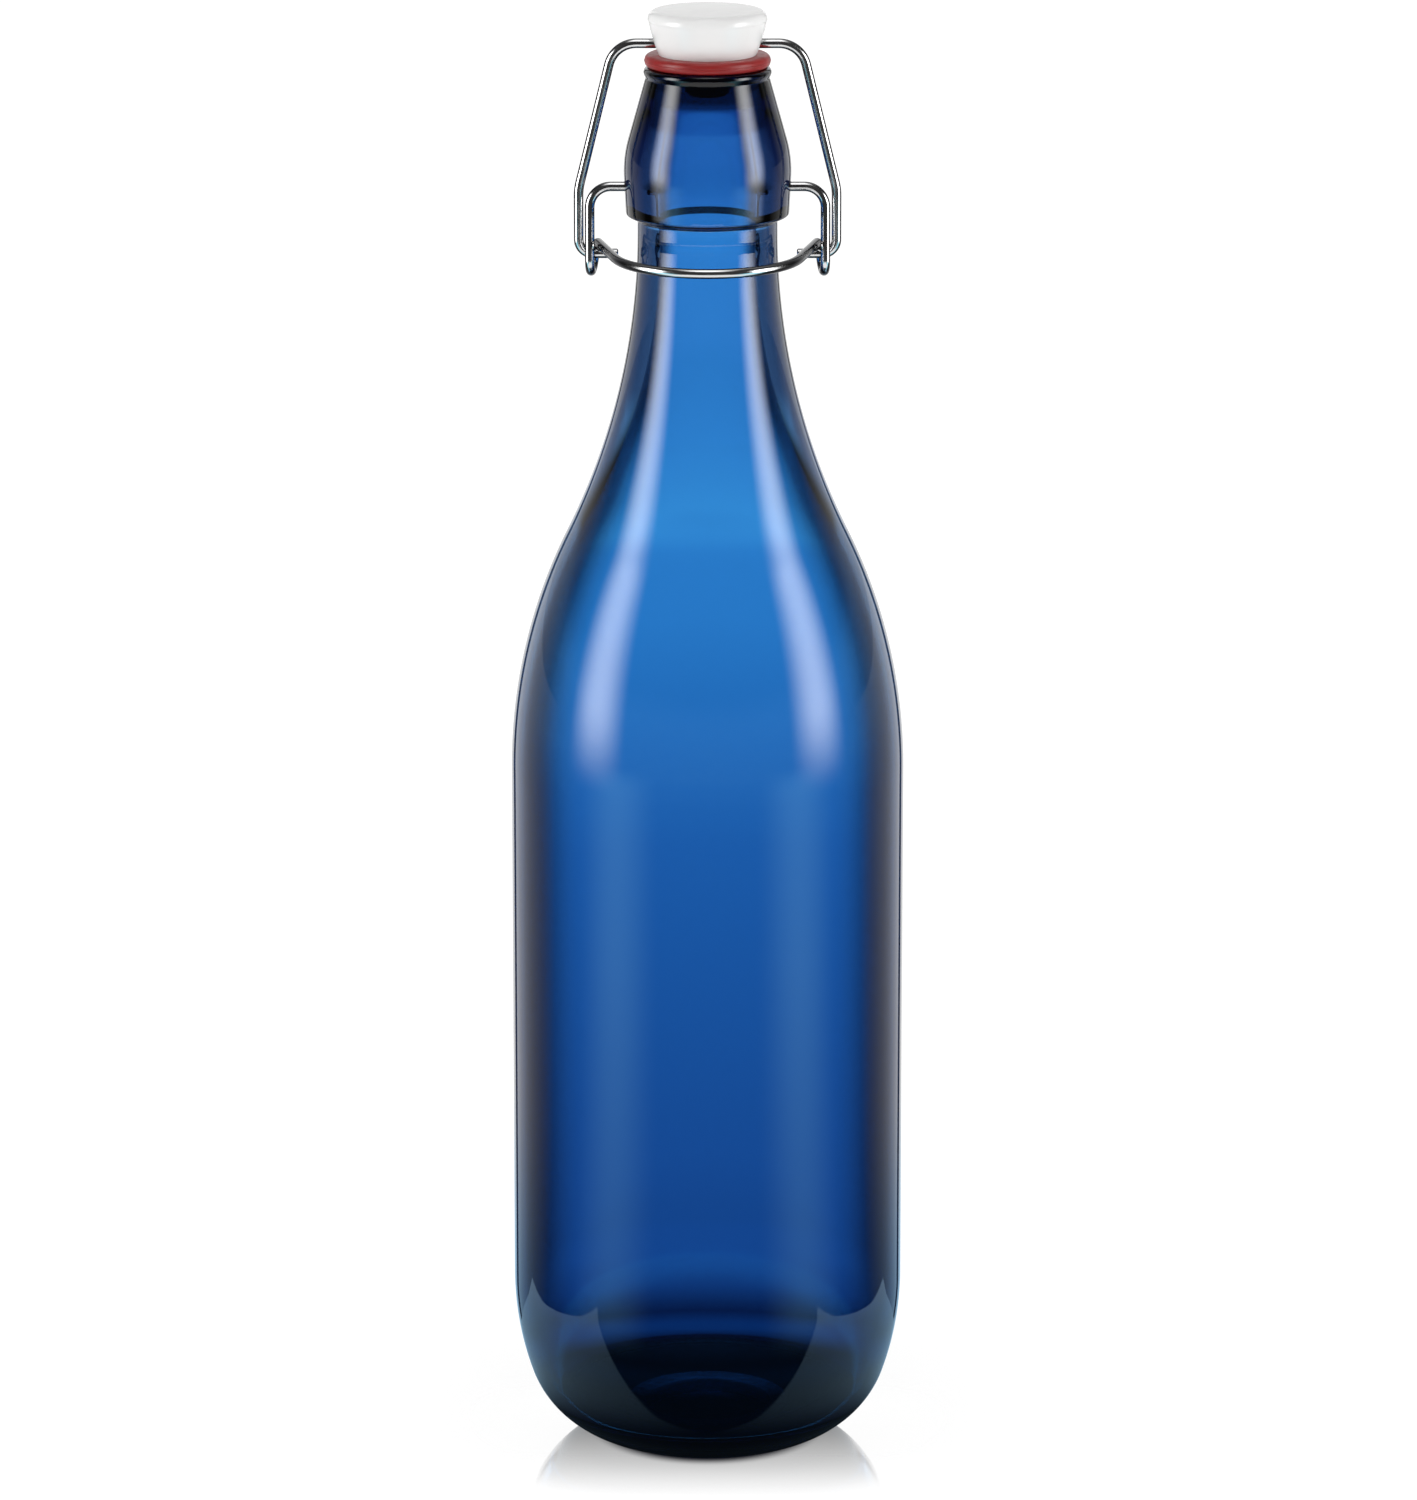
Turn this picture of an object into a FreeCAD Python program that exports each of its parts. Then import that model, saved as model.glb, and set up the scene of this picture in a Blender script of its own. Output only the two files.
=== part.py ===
import FreeCAD, Part
import math
import os
import re
import Sketcher

# Driving sizes in millimetres. The heel turn is in degrees.
SIZES = {
    # Glass, outside, from the floor up
    "body_radius": 43.0,
    "heel_lower_radius": 22.4,
    "heel_upper_radius": 66.0,
    "heel_turn": 19.2,
    "bearing_width": 4.2,
    "punt_height": 4.5,
    "shoulder_height": 152.5,
    "shoulder_radius": 119.8,
    "shoulder_rise": 119.5,
    "neck_radius": 15.1,
    "neck_land": 2.4,
    # Glass, outside, the finish that carries the closure
    "collar_radius": 17.6,
    "collar_slope": 1.1,
    "collar_edge": 0.8,
    "bulge_radius": 18.25,
    "bulge_rise": 13.3,
    "bulge_edge": 26.0,
    "finish_height": 33.0,
    "lip_waist_radius": 13.35,
    "lip_band": 2.3,
    "lip_radius": 14.3,
    "lip_edge": 1.1,
    # Glass, inside
    "body_wall": 2.5,
    "floor_height": 9.0,
    "floor_edge": 3.0,
    "neck_bore_radius": 10.4,
    "neck_bore_drop": 4.0,
    "throat_depth": 14.0,
    "throat_taper": 12.0,
    "mouth_radius": 8.6,
    "mouth_edge": 1.2,
    # Pivot dimples in the finish
    "pivot_rise": 7.0,
    "pivot_depth": 3.0,
    "pivot_clearance": 0.08,
    "pivot_end_gap": 0.4,
    # Gasket, a rim over the lip and a plug in the mouth
    "seal_gap": 0.1,
    "gasket_thickness": 2.6,
    "gasket_inset": 0.7,
    "gasket_edge": 1.15,
    "gasket_clearance": 0.05,
    "plug_clearance": 2.2,
    "plug_depth": 7.2,
    "plug_taper": 1.6,
    "plug_edge": 1.2,
    # Stopper
    "stem_radius": 3.6,
    "stem_depth": 5.4,
    "stem_edge": 0.5,
    "head_foot_radius": 10.5,
    "head_radius": 13.15,
    "head_height": 9.8,
    "head_dome": 0.4,
    "head_edge": 1.9,
    "head_side_radius": 40.0,
    "bail_bore_rise": 2.3,
    "bail_bore_clearance": 0.05,
    # Wires
    "wire_diameter": 2.1,
    "leg_offset": 7.1,
    "leg_bend": 4.5,
    "eye_drop": 15.5,
    "eye_radius": 3.05,
    "eye_flat": 0.305,
    "eye_gap": 0.6,
    "over_centre": 0.7,
    "handle_reach": 30.0,
    "handle_front_width": 32.0,
    "handle_bend": 20.0,
    "handle_dip": 1.0,
    "pin_clearance": 0.1,
    "pin_length": 6.1,
    "bail_gap": 0.3,
    "bail_leg": 14.1,
    "bail_foot_bend": 3.0,
    "bail_knee_bend": 12.0,
    "bail_top_width": 40.0,
    "bail_top_bend": 6.0,
}

# Middle of the heel's lower arc, and the height where its upper arc runs into the straight side
HEEL_X = "body_radius - heel_upper_radius + (heel_upper_radius - heel_lower_radius) * cos(heel_turn * 1 deg)"
HEEL_Z = "heel_lower_radius + (heel_upper_radius - heel_lower_radius) * sin(heel_turn * 1 deg)"

# Heights above the floor, each stacked on the one below
NECK_Z = "shoulder_height + shoulder_rise"
COLLAR_Z = NECK_Z + " + neck_land"
PIVOT_Z = COLLAR_Z + " + pivot_rise"
LIP_Z = COLLAR_Z + " + finish_height"
SEAL_Z = LIP_Z + " + seal_gap"
HEAD_Z = SEAL_Z + " + gasket_thickness"
BORE_Z = HEAD_Z + " + bail_bore_rise"

doc = FreeCAD.newDocument("SwingTopBottle")
sheet = doc.addObject("Spreadsheet::Sheet", "Sizes")
for row, (alias, number) in enumerate(SIZES.items(), start=1):
    sheet.set("A%d" % row, alias)
    sheet.set("B%d" % row, str(number))
    sheet.setAlias("B%d" % row, alias)
doc.recompute()


def on_sheet(text):
    """Points each size named in an expression at its cell."""
    return re.sub(r"[a-z_]+", lambda word: "Sizes." + word[0] if word[0] in SIZES else word[0], text)


def value(text):
    return float(sheet.evalExpression(on_sheet(text)))


def origin_plane(body, role):
    return [item for item in body.Origin.OriginFeatures if item.Role == role][0]


class Section:
    """A closed chain of lines and arcs on a body's front plane, with its sizes bound to the sheet."""

    def __init__(self, body, name):
        self.sketch = body.newObject("Sketcher::SketchObject", name)
        self.sketch.AttachmentSupport = [(origin_plane(body, "XZ_Plane"), "")]
        self.sketch.MapMode = "FlatFace"
        self.pieces = {}
        self.last = None
        self.first = None

    def begin(self, x, z):
        self.point = FreeCAD.Vector(x, z, 0)
        self.last = None
        self.first = None

    def add(self, name, curve, start, end, smooth):
        index = self.sketch.addGeometry(curve)
        self.pieces[name] = (index, start, end)
        if self.last:
            kind = "Tangent" if smooth else "Coincident"
            before, _, before_end = self.pieces[self.last]
            self.sketch.addConstraint(Sketcher.Constraint(kind, before, before_end, index, start))
        self.first = self.first or name
        self.last = name

    def line(self, name, x, z, smooth=False):
        end = FreeCAD.Vector(x, z, 0)
        self.add(name, Part.LineSegment(self.point, end), 1, 2, smooth)
        self.point = end

    def arc(self, name, x, z, centre, turn, smooth=True):
        """Adds an arc about a centre, counter-clockwise where turn is positive."""
        end = FreeCAD.Vector(x, z, 0)
        middle = FreeCAD.Vector(centre[0], centre[1], 0)
        angles = [math.atan2(p.y - middle.y, p.x - middle.x) for p in (self.point, end)]
        low, high = angles if turn > 0 else reversed(angles)
        if high < low:
            high += 2 * math.pi
        circle = Part.Circle(middle, FreeCAD.Vector(0, 0, 1), (end - middle).Length)
        ends = (1, 2) if turn > 0 else (2, 1)
        self.add(name, Part.ArcOfCircle(circle, low, high), ends[0], ends[1], smooth)
        self.point = end

    def close(self):
        last, _, last_end = self.pieces[self.last]
        first, first_start, _ = self.pieces[self.first]
        self.sketch.addConstraint(Sketcher.Constraint("Coincident", last, last_end, first, first_start))

    def bind(self, kind, place, text):
        index = self.sketch.addConstraint(Sketcher.Constraint(kind, *place, value(text)))
        self.sketch.setExpression("Constraints[%d]" % index, on_sheet(text))

    def fix(self, piece, position, x, z):
        """Ties one point's distances from the axis and the base, or puts it on them where they are 0."""
        for kind, axis, text in (("DistanceX", -2, x), ("DistanceY", -1, z)):
            if text == "0":
                self.sketch.addConstraint(Sketcher.Constraint("PointOnObject", piece, position, axis))
            elif text:
                self.bind(kind, (-1, 1, piece, position), text)

    def start_at(self, name, x=None, z=None):
        index, start, _ = self.pieces[name]
        self.fix(index, start, x, z)

    def end_at(self, name, x=None, z=None):
        index, _, end = self.pieces[name]
        self.fix(index, end, x, z)

    def centre_at(self, name, x=None, z=None):
        self.fix(self.pieces[name][0], 3, x, z)

    def radius(self, name, text):
        self.bind("Radius", (self.pieces[name][0],), text)

    def upright(self, name):
        self.sketch.addConstraint(Sketcher.Constraint("Vertical", self.pieces[name][0]))

    def level(self, name):
        self.sketch.addConstraint(Sketcher.Constraint("Horizontal", self.pieces[name][0]))

    def corners(self, points):
        """Adds straight lines through points given as size expressions, ending at the last of them."""
        for name, x, z in points:
            self.line(name, value(x), value(z))
            self.end_at(name, x, z)


def new_body(label, height="0"):
    body = doc.addObject("PartDesign::Body", label)
    body.Label = label
    body.setExpression("Placement.Base.z", on_sheet(height))
    return body


def revolve(body, section, name):
    turned = body.newObject("PartDesign::Revolution", name)
    turned.Profile = section.sketch
    turned.ReferenceAxis = (section.sketch, ["V_Axis"])
    turned.Angle = 360
    doc.recompute()
    return turned


def round_edges(body, name, places, size):
    """Rounds the circular edges that lie at the given radius and height on the body's last feature."""
    base = body.Tip
    chosen = []
    for number, edge in enumerate(base.Shape.Edges, start=1):
        if edge.Degenerated or not isinstance(edge.Curve, Part.Circle):
            continue
        for radius, height in places:
            if math.isclose(edge.Curve.Radius, radius, abs_tol=1e-4) and \
                    math.isclose(edge.Curve.Center.z, height, abs_tol=1e-4):
                chosen.append("Edge%d" % number)
    rounded = body.newObject("PartDesign::Fillet", name)
    rounded.Base = (base, chosen)
    rounded.setExpression("Radius", on_sheet(size))
    doc.recompute()


def cross_bore(body, name, height, radius, spans):
    """Cuts round holes along X, each given by the distances from the axis where it begins and ends."""
    cutter = Section(body, name + "Section")
    cutter.sketch.setExpression("AttachmentOffset.Base.y", on_sheet(height))
    for number, (near, far) in enumerate(spans):
        cutter.begin(value(near), 0)
        cutter.corners([
            ("floor%d" % number, near, radius),
            ("wall%d" % number, far, radius),
            ("mouth%d" % number, far, "0"),
            ("axis%d" % number, near, "0"),
        ])
        cutter.close()
    before = body.Tip.Shape.Volume
    hole = body.newObject("PartDesign::Groove", name)
    hole.Profile = cutter.sketch
    hole.ReferenceAxis = (cutter.sketch, ["H_Axis"])
    hole.Angle = 360
    doc.recompute()
    if hole.Shape.Volume >= before:
        raise RuntimeError(name + " cut nothing")


def reverse_arc_radius(body_radius, shoulder_radius, neck_radius, rise):
    """Radius of the hollow neck arc that runs on from the shoulder arc and ends upright."""
    reach = shoulder_radius - body_radius + neck_radius
    return (reach ** 2 + rise ** 2 - shoulder_radius ** 2) / (2 * (body_radius - neck_radius))


def shoulder_curve(radius, shoulder_radius, neck_radius, height, rise):
    """Centres of the shoulder and neck arcs, and the point where one runs into the other."""
    neck_arc = reverse_arc_radius(radius, shoulder_radius, neck_radius, rise)
    low = FreeCAD.Vector(radius - shoulder_radius, height, 0)
    high = FreeCAD.Vector(neck_radius + neck_arc, height + rise, 0)
    meeting = low + (high - low) * (shoulder_radius / (shoulder_radius + neck_arc))
    return low, high, meeting


def heel_curve(wall):
    """Centres of the heel's lower and upper arcs, and where they meet at a depth in the wall."""
    turn = math.radians(value("heel_turn"))
    low = FreeCAD.Vector(value(HEEL_X), value("heel_lower_radius"), 0)
    high = FreeCAD.Vector(value("body_radius - heel_upper_radius"), value(HEEL_Z), 0)
    meeting = low + FreeCAD.Vector(math.cos(turn), -math.sin(turn), 0) * value("heel_lower_radius - " + wall)
    return low, high, meeting


def draw_outside(section):
    """Outer half section: punt, bearing ring, two-arc heel, straight side, shoulder and neck."""
    body_radius = value("body_radius")
    bearing = value(HEEL_X)
    punt_radius = bearing - value("bearing_width")
    punt_height = value("punt_height")
    punt_arc = (punt_radius ** 2 + punt_height ** 2) / (2 * punt_height)
    heel_low, heel_high, heel_meeting = heel_curve("0")

    section.begin(0, punt_height)
    section.arc("punt", punt_radius, 0, (0, punt_height - punt_arc), -1)
    section.line("bearing", bearing, 0)
    section.arc("heel_lower", heel_meeting.x, heel_meeting.y, heel_low, 1)
    section.arc("heel_upper", body_radius, heel_high.y, heel_high, 1)
    section.line("side", body_radius, value("shoulder_height"), smooth=True)
    low, high, meeting = shoulder_curve(body_radius, value("shoulder_radius"), value("neck_radius"),
                                        value("shoulder_height"), value("shoulder_rise"))
    section.arc("shoulder", meeting.x, meeting.y, low, 1)
    section.arc("neck", value("neck_radius"), high.y, high, -1)
    section.line("neck_land", value("neck_radius"), value(COLLAR_Z), smooth=True)

    section.start_at("punt", "0", "punt_height")
    section.centre_at("punt", "0")
    section.end_at("punt", HEEL_X + " - bearing_width", "0")
    section.end_at("bearing", HEEL_X)
    section.level("bearing")
    section.radius("heel_lower", "heel_lower_radius")
    section.radius("heel_upper", "heel_upper_radius")
    section.upright("side")
    section.end_at("side", "body_radius", "shoulder_height")
    section.radius("shoulder", "shoulder_radius")
    section.end_at("neck", "neck_radius", NECK_Z)
    section.upright("neck_land")
    section.end_at("neck_land", None, COLLAR_Z)


def draw_inside(section):
    """Inner half section from the neck bore down the wall to the floor and back along the axis."""
    inner = value("body_radius - body_wall")
    shoulder_radius = value("shoulder_radius - body_wall")
    bore = value("neck_bore_radius")
    height = value("shoulder_height")
    heel_low, heel_high, heel_meeting = heel_curve("body_wall")
    floor = value("floor_height")
    edge = value("floor_edge")
    heel = value("heel_lower_radius - body_wall")
    edge_turn = math.asin((heel_low.y - floor - edge) / (heel - edge))
    edge_way = FreeCAD.Vector(math.cos(edge_turn), -math.sin(edge_turn), 0)
    edge_centre = heel_low + edge_way * (heel - edge)
    edge_meeting = heel_low + edge_way * heel
    low, high, meeting = shoulder_curve(inner, shoulder_radius, bore, height,
                                        value("shoulder_rise - neck_bore_drop"))
    section.arc("inner_neck", meeting.x, meeting.y, high, 1)
    section.arc("inner_shoulder", inner, height, low, -1)
    section.line("inner_side", inner, heel_high.y, smooth=True)
    section.arc("inner_heel_upper", heel_meeting.x, heel_meeting.y, heel_high, -1)
    section.arc("inner_heel_lower", edge_meeting.x, edge_meeting.y, heel_low, -1)
    section.arc("floor_edge", edge_centre.x, floor, edge_centre, -1)
    section.line("floor", 0, floor, smooth=True)
    section.line("axis", 0, value("punt_height"))
    section.close()

    section.radius("inner_shoulder", "shoulder_radius - body_wall")
    section.start_at("inner_side", "body_radius - body_wall", "shoulder_height")
    section.upright("inner_side")
    section.end_at("inner_side", None, HEEL_Z)
    section.radius("inner_heel_upper", "heel_upper_radius - body_wall")
    section.radius("inner_heel_lower", "heel_lower_radius - body_wall")
    section.centre_at("inner_heel_lower", None, "heel_lower_radius")
    section.radius("floor_edge", "floor_edge")
    section.level("floor")
    section.end_at("floor", "0", "floor_height")


def make_glass():
    """One hollow blown bottle, its finish, and the two dimples that the lever turns in."""
    body = new_body("glass_bottle")
    section = Section(body, "GlassSection")
    draw_outside(section)
    section.corners([
        ("collar_underside", "collar_radius", COLLAR_Z + " + collar_slope"),
        ("collar", "bulge_radius", COLLAR_Z + " + bulge_rise"),
        ("cone", "lip_waist_radius", LIP_Z + " - lip_band"),
        ("lip_flare", "lip_radius", LIP_Z),
        ("lip_top", "mouth_radius", LIP_Z),
        ("mouth", "mouth_radius", LIP_Z + " - throat_depth"),
        ("throat", "neck_bore_radius", LIP_Z + " - throat_depth - throat_taper"),
        ("neck_bore", "neck_bore_radius", NECK_Z + " - neck_bore_drop"),
    ])
    draw_inside(section)
    revolve(body, section, "BlownGlass")
    lip = value(LIP_Z)
    collar = value(COLLAR_Z)
    round_edges(body, "CollarEdge", [(value("collar_radius"), collar + value("collar_slope"))], "collar_edge")
    round_edges(body, "BulgeEdge", [(value("bulge_radius"), collar + value("bulge_rise"))], "bulge_edge")
    round_edges(body, "LipEdge", [(value("lip_radius"), lip)], "lip_edge")
    round_edges(body, "MouthEdge", [(value("mouth_radius"), lip)], "mouth_edge")
    floor = "bulge_radius - pivot_depth - pivot_end_gap"
    outside = "bulge_radius + wire_diameter"
    cross_bore(body, "PivotDimples", PIVOT_Z, "wire_diameter / 2 + pivot_clearance",
               [(floor, outside), ("-(" + floor + ")", "-(" + outside + ")")])
    return body


def make_gasket():
    """Rubber bung pushed onto the stopper's stem: a rim over the lip and a plug that hangs in the mouth."""
    body = new_body("gasket", SEAL_Z)
    section = Section(body, "GasketSection")
    socket = "stem_radius + gasket_clearance"
    socket_end = "-stem_depth - gasket_clearance"
    rim = "lip_radius - gasket_inset"
    plug = "mouth_radius - plug_clearance"
    section.begin(0, value("-plug_depth"))
    section.corners([
        ("plug_end", plug + " - plug_taper", "-plug_depth"),
        ("plug_side", plug, "0"),
        ("underside", rim, "0"),
        ("rim", rim, "gasket_thickness"),
        ("top", socket, "gasket_thickness"),
        ("socket", socket, socket_end),
        ("socket_end", "0", socket_end),
        ("axis", "0", "-plug_depth"),
    ])
    section.close()
    revolve(body, section, "MouldedBung")
    round_edges(body, "GasketEdge", [(value(rim), 0), (value(rim), value("gasket_thickness"))], "gasket_edge")
    round_edges(body, "PlugEdge", [(value(plug + " - plug_taper"), value("-plug_depth"))], "plug_edge")
    return body


def make_stopper():
    """Bowl-shaped head with the bail's bore across it, and the stem that the rubber bung is pushed onto."""
    body = new_body("stopper", HEAD_Z)
    section = Section(body, "StopperSection")
    stem_end = "-gasket_thickness - stem_depth"
    foot = FreeCAD.Vector(value("head_foot_radius"), 0, 0)
    brim = FreeCAD.Vector(value("head_radius"), value("head_height - head_dome"), 0)
    chord = brim - foot
    sagitta = math.sqrt(value("head_side_radius") ** 2 - (chord.Length / 2) ** 2)
    side_centre = (foot + brim) / 2 + FreeCAD.Vector(-chord.y, chord.x, 0).normalize() * sagitta
    dome_arc = (value("head_radius") ** 2 + value("head_dome") ** 2) / (2 * value("head_dome"))

    section.begin(0, value(stem_end))
    section.corners([
        ("stem_end", "stem_radius", stem_end),
        ("stem", "stem_radius", "0"),
        ("head_underside", "head_foot_radius", "0"),
    ])
    section.arc("head_side", brim.x, brim.y, side_centre, 1, smooth=False)
    section.arc("head_top", 0, value("head_height"), (0, value("head_height") - dome_arc), 1, smooth=False)
    section.line("axis", 0, value(stem_end))
    section.close()
    section.end_at("head_side", "head_radius", "head_height - head_dome")
    section.radius("head_side", "head_side_radius")
    section.end_at("head_top", "0", "head_height")
    section.centre_at("head_top", "0")
    section.end_at("axis", "0", stem_end)
    revolve(body, section, "MouldedStopper")
    round_edges(body, "HeadEdge", [(brim.x, brim.y)], "head_edge")
    round_edges(body, "StemEdge", [(value("stem_radius"), value(stem_end))], "stem_edge")
    cross_bore(body, "BailBore", "bail_bore_rise", "wire_diameter / 2 + bail_bore_clearance",
               [("-head_radius", "head_radius")])
    return body


def bent_path(points, bends):
    """Straight runs through the points, with a tangent arc of the given radius at each inner point."""
    edges = []
    start = points[0]
    for before, corner, after, radius in zip(points, points[1:], points[2:], bends):
        back = (before - corner).normalize()
        ahead = (after - corner).normalize()
        half_angle = back.getAngle(ahead) / 2
        reach = radius / math.tan(half_angle)
        middle = corner + (back + ahead).normalize() * (radius / math.sin(half_angle) - radius)
        edges.append(Part.LineSegment(start, corner + back * reach).toShape())
        edges.append(Part.Arc(corner + back * reach, middle, corner + ahead * reach).toShape())
        start = corner + ahead * reach
    edges.append(Part.LineSegment(start, points[-1]).toShape())
    return Part.Wire(edges)


def mirrored(points):
    """Continues a path from its right half through to its left half."""
    return points + [FreeCAD.Vector(-p.x, p.y, p.z) for p in reversed(points)]


def bend_wire(label, half_points, half_bends):
    """A round wire bent along a path that is the same on both sides."""
    path = doc.addObject("Part::Feature", label + "_path")
    path.Shape = bent_path(mirrored(half_points), half_bends + half_bends[::-1])
    ring = doc.addObject("Part::Circle", label + "_ring")
    ring.setExpression("Radius", on_sheet("wire_diameter / 2"))
    first_run = half_points[1] - half_points[0]
    ring.Placement = FreeCAD.Placement(half_points[0], FreeCAD.Rotation(FreeCAD.Vector(0, 0, 1), first_run))
    wire = doc.addObject("Part::Sweep", label)
    wire.Label = label
    wire.Sections = [ring]
    wire.Spine = (path, ["Edge%d" % number for number in range(1, len(path.Shape.Edges) + 1)])
    wire.Solid = True
    doc.recompute()
    full_volume = math.pi * ring.Radius.Value ** 2 * path.Shape.Length
    if not math.isclose(wire.Shape.Volume, full_volume, rel_tol=0.01):
        raise RuntimeError(label + " did not sweep its whole length")
    return wire


def lever_points():
    """Right half of the lever: pivot tip, leg, open eye, and the arm that runs round to the front."""
    pivot = value(PIVOT_Z)
    leg = value("bulge_radius + leg_offset")
    crossing = leg - value("wire_diameter + eye_gap")
    eye = value("eye_radius")
    front = value("over_centre") - eye
    back = value("over_centre") + eye
    low = pivot - value("eye_drop") - eye
    high = pivot - value("eye_drop") + eye
    handle_corner = FreeCAD.Vector(value("handle_front_width / 2"), -value("handle_reach"),
                                   high - value("handle_dip"))
    flare = (crossing - handle_corner.x) / (value("handle_reach") + front)
    top_back = FreeCAD.Vector(crossing + flare * 2 * eye, back, high)
    bottom_back = FreeCAD.Vector((leg + top_back.x) / 2, back, low)
    points = [
        FreeCAD.Vector(value("bulge_radius - pivot_depth"), 0, pivot),
        FreeCAD.Vector(leg, 0, pivot),
        FreeCAD.Vector(leg, front, low),
        bottom_back,
        top_back,
        handle_corner,
    ]
    eye_bend = eye - value("eye_flat")
    return points, [value("leg_bend"), eye_bend, eye_bend, eye_bend, value("handle_bend")]


def pin_height():
    """Height of the bail's pins, which hang under the tops of the lever's eyes."""
    top = value(PIVOT_Z) - value("eye_drop") + value("eye_radius")
    slope = value("handle_dip") / (value("handle_reach") + value("over_centre + eye_radius"))
    return top - slope * value("eye_radius") - value("wire_diameter + pin_clearance")


def bail_points():
    """Right half of the bail: pin, upright leg, slope in to the stopper, and the bar through it."""
    top = value(BORE_Z)
    drop = top - pin_height()
    lean = math.atan(value("over_centre") / drop)
    leg = value("bulge_radius + leg_offset + wire_diameter + bail_gap")
    foot = -math.hypot(drop, value("over_centre"))
    flat = [
        (value("bulge_radius + leg_offset - pin_length"), foot),
        (leg, foot),
        (leg, foot + value("bail_leg")),
        (value("bail_top_width / 2"), 0),
    ]
    points = [FreeCAD.Vector(x, -z * math.sin(lean), top + z * math.cos(lean)) for x, z in flat]
    return points, [value("bail_foot_bend"), value("bail_knee_bend"), value("bail_top_bend")]


sub_parts = [
    make_glass(),
    make_gasket(),
    make_stopper(),
    bend_wire("lever_wire", *lever_points()),
    bend_wire("bail_wire", *bail_points()),
]
doc.recompute()

for item in doc.Objects:
    if "Invalid" in item.State or "Error" in item.State:
        raise RuntimeError(item.Label + " failed to build")
for sub_part in sub_parts:
    if sub_part.Shape.isNull() or not sub_part.Shape.isValid():
        raise RuntimeError(sub_part.Label + " has no valid shape")

os.makedirs("parts", exist_ok=True)
for sub_part in sub_parts:
    sub_part.Shape.exportStep("parts/%s.step" % sub_part.Label)
    print(sub_part.Label, "%.1f mm3" % sub_part.Shape.Volume)
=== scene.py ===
import math

import bpy
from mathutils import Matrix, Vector


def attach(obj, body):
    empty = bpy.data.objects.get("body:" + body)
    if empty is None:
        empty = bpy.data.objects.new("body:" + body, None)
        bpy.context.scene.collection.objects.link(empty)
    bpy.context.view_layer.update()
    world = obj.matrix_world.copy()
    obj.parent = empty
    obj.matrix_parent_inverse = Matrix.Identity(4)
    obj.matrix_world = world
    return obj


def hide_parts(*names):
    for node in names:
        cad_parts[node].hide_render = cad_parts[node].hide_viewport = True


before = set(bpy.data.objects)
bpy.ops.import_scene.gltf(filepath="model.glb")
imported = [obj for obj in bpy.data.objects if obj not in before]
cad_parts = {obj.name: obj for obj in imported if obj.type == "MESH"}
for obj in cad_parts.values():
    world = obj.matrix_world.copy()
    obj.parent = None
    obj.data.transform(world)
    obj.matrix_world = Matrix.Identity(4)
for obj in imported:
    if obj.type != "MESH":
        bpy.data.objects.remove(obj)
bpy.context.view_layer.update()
scene = bpy.context.scene

MM = 0.001

# Glass, outside, in millimetres and degrees. The side lies just inside the solid's facets
BODY_RADIUS = 42.96
HEEL_LOWER_RADIUS = 22.4
HEEL_UPPER_RADIUS = 66.0
HEEL_TURN = 19.2
BEARING_WIDTH = 4.2
PUNT_HEIGHT = 4.5
SHOULDER_HEIGHT = 152.5
SHOULDER_RADIUS = 119.8
SHOULDER_RISE = 119.5
NECK_RADIUS = 15.1
NECK_LAND = 2.4
COLLAR_RADIUS = 17.6
COLLAR_SLOPE = 1.1
COLLAR_ROOT = 0.5
COLLAR_EDGE = 0.8
BULGE_RADIUS = 18.25
BULGE_RISE = 13.3
BULGE_EDGE = 26.0
FINISH_HEIGHT = 33.0
LIP_WAIST_RADIUS = 13.35
LIP_BAND = 2.3
LIP_RADIUS = 14.3
LIP_ROOT = 0.6
LIP_EDGE = 1.1

# Glass, inside
BODY_WALL = 2.5
FLOOR_HEIGHT = 9.0
FLOOR_EDGE = 3.0
NECK_BORE_RADIUS = 10.4
NECK_BORE_DROP = 4.0
THROAT_DEPTH = 14.0
THROAT_TAPER = 12.0
THROAT_EDGE = 6.0
MOUTH_RADIUS = 8.6
MOUTH_EDGE = 1.2
PIVOT_RISE = 7.0
PIVOT_DEPTH = 3.0
PIVOT_CLEARANCE = 0.08
PIVOT_END_GAP = 0.4

# Gasket, a rim over the lip with the fine line that its mould leaves, and a plug in the mouth
SEAL_GAP = 0.1
GASKET_THICKNESS = 2.6
GASKET_INSET = 0.7
GASKET_EDGE = 1.15
GASKET_CLEARANCE = 0.05
PLUG_CLEARANCE = 2.2
PLUG_DEPTH = 7.2
PLUG_TAPER = 1.6
PLUG_EDGE = 1.2
PLUG_ROOT = 0.3
SOCKET_EDGE = 0.2
FLASH_HEIGHT = 0.1
FLASH_FOOT = 0.3
FLASH_TOP = 0.1

# Stopper
STEM_RADIUS = 3.6
STEM_DEPTH = 5.4
STEM_EDGE = 0.5
HEAD_FOOT_RADIUS = 10.5
HEAD_RADIUS = 13.15
HEAD_HEIGHT = 9.8
HEAD_DOME = 0.4
HEAD_EDGE = 1.9
HEAD_SIDE_RADIUS = 40.0
BAIL_BORE_RISE = 2.3
BAIL_BORE_CLEARANCE = 0.05

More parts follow.
